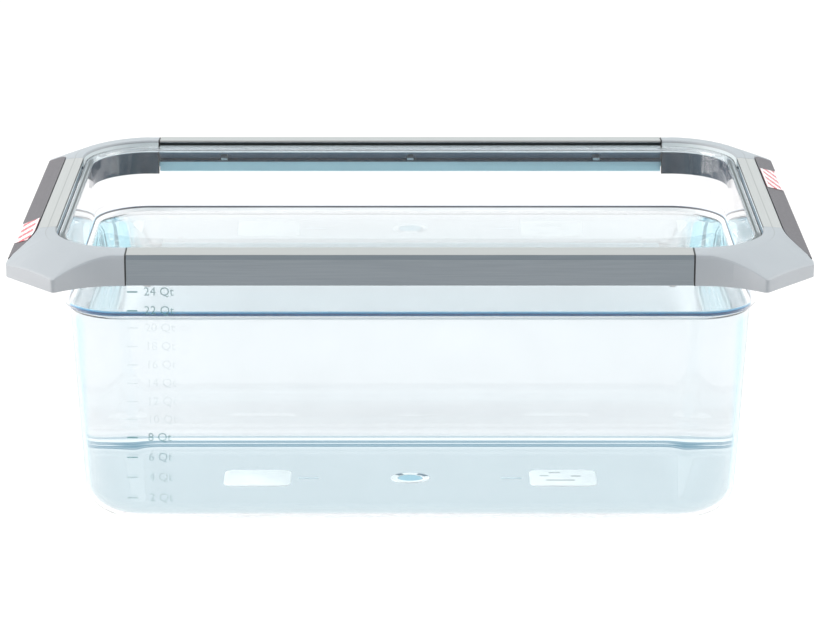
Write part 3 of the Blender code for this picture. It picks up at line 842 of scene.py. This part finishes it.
def build_floor():
    """A plain pale floor that glows a little, like a lit sheet of white acrylic."""
    bm = bmesh.new()
    corners = [(x * FLOOR_HALF, y * FLOOR_HALF, -FLOOR_DROP) for x, y in ((-1, -1), (1, -1), (1, 1), (-1, 1))]
    bm.faces.new([bm.verts.new(corner) for corner in corners])
    m = Nodes("pale_floor")
    m.colour(m.ramp(m.noise(3.0), FLOOR_TONES))
    m.set(Roughness=0.7, Specular_IOR_Level=0.1,
          Emission_Color=(*FLOOR_GLOW, 1.0), Emission_Strength=FLOOR_GLOW_STRENGTH)
    new_piece("floor", bm, m.material, None)


def build_world():
    """A studio whose tone changes from the lit wall behind over the ceiling to the front."""
    world = bpy.data.worlds.new("studio")
    bpy.context.scene.world = world
    world.use_nodes = True
    nodes, links = world.node_tree.nodes, world.node_tree.links
    place = nodes.new("ShaderNodeTexCoord")
    parts = nodes.new("ShaderNodeSeparateXYZ")
    links.new(place.outputs["Generated"], parts.inputs["Vector"])
    angle = nodes.new("ShaderNodeMath")
    angle.operation = "ARCTAN2"
    links.new(parts.outputs["Z"], angle.inputs[0])
    links.new(parts.outputs["Y"], angle.inputs[1])
    turn = nodes.new("ShaderNodeMath")
    turn.operation = "DIVIDE"
    turn.inputs[1].default_value = math.pi
    links.new(angle.outputs["Value"], turn.inputs[0])
    ramp = nodes.new("ShaderNodeValToRGB")
    while len(ramp.color_ramp.elements) < len(STUDIO):
        ramp.color_ramp.elements.new(0.5)
    for element, (degrees, colour) in zip(ramp.color_ramp.elements, STUDIO):
        element.position = degrees / 180.0
        element.color = (*shade(colour, 1.0 / STUDIO_POWER), 1.0)
    links.new(turn.outputs["Value"], ramp.inputs["Fac"])
    links.new(ramp.outputs["Color"], nodes["Background"].inputs["Color"])
    nodes["Background"].inputs["Strength"].default_value = STUDIO_POWER


def build_light(name, place, size, power):
    """A soft rectangular lamp that isn't itself seen, aimed at the tank."""
    data = bpy.data.lights.new(name, "AREA")
    data.shape = "RECTANGLE"
    data.size, data.size_y = size
    data.energy = power
    data.color = LAMP_COLOUR
    lamp = bpy.data.objects.new(name, data)
    lamp.visible_camera = False
    lamp.visible_transmission = False
    bpy.context.scene.collection.objects.link(lamp)
    lamp.location = place
    lamp.rotation_euler = (Vector(LAMP_AIM) - Vector(place)).to_track_quat("-Z", "Y").to_euler()


def build_camera():
    data = bpy.data.cameras.new("camera")
    data.lens = CAMERA_LENS
    data.sensor_width = SENSOR_WIDTH
    data.clip_end = 60.0
    camera = bpy.data.objects.new("camera", data)
    bpy.context.scene.collection.objects.link(camera)
    camera.location = CAMERA_PLACE
    camera.rotation_euler = (math.radians(90.0 - CAMERA_PITCH), 0.0, 0.0)
    bpy.context.scene.camera = camera


def build_frame():
    """Every frame node as a finished copy with the look of its material slot."""
    rail = brushed_aluminium("brushed_long_rails", 0, RAIL_TOP, RAIL_FACE_SHADE, inner_back)
    end_rail = with_crease_shade(brushed_aluminium("brushed_end_rails", 1, END_RAIL_TOP, END_RAIL_FACE_SHADE,
                                         lambda m: inner_side(m, END_INNER_START)))
    finishes = {  # the look and the width of the broken edges, in metres
        "aluminium": (rail.material, 0.00025),
        "grey_plastic": (grey_plastic("grey_castings"), 0.0006),
        "steel": (spring_steel("bright_steel"), 0.0),
        "inlay": (woven_inlay("dark_weave"), 0.00015),
        "badge": (badge_face("white_badge_face"), 0.00015),
    }
    for row in frame["record"]["subparts"]:
        node, slot = row["node"], row["material_slot"]
        if node == "tank":
            continue
        look, edge = finishes[slot]
        if node.endswith("end_rail"):
            polished(node, end_rail.material, edge, 1.5)
        else:
            polished(node, look, edge)


def main():
    build_camera()
    build_frame()
    build_tank(clear_polycarbonate("clear_polycarbonate"))
    build_water(water_material())
    # the meniscus glint is a painted glint, and the water edge a painted dark line of shade
    build_waterline((waterline_material(), edge_material("meniscus_glint", PAINTED_GLINT_TONES, 0.3),
                     edge_material("water_edge", PAINTED_EDGE_SHADE_TONES, 0.5)))
    build_graduations(graduation_material("graduations", 0.05, 0.45),
                      graduation_material("graduation_lines", 0.06, 0.85))
    build_floor_marks()
    build_floor()
    build_world()
    for lamp in LAMPS:
        build_light(*lamp)
    bpy.context.scene.view_settings.view_transform = "Standard"
    for name, count in LIGHT_PATHS.items():
        setattr(bpy.context.scene.cycles, name, count)


main()
